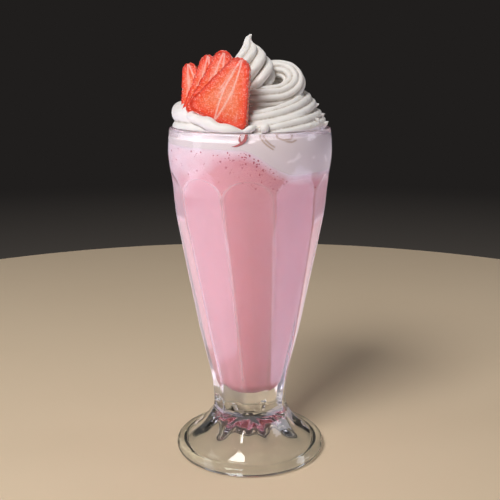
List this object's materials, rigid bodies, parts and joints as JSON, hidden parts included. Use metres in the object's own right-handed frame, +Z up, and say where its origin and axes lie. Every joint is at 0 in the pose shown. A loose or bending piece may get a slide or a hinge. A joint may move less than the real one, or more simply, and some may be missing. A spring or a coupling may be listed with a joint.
{
  "type": "milkshake",
  "caption": "Strawberry milkshake in a tall fluted soda glass, topped with piped whipped cream and a fan of strawberry slices.",
  "frame": {"origin": "middle of the foot, on the table", "axes": "+Z up along the glass, -Y towards the viewer, +X to the viewer's right"},
  "size_m": [0.0882, 0.0882, 0.2328],
  "materials": {
    "glass": "clear pressed glass, fire polished",
    "milkshake": null,
    "cream": null,
    "strawberry": null
  },
  "bodies": {
    "root": {"glass": "glass", "milkshake": "milkshake", "whipped_cream": "cream", "strawberry_slice_1": "strawberry", "strawberry_slice_2": "strawberry", "strawberry_slice_3": "strawberry", "strawberry_slice_4": "strawberry"}
  },
  "joints": []
}
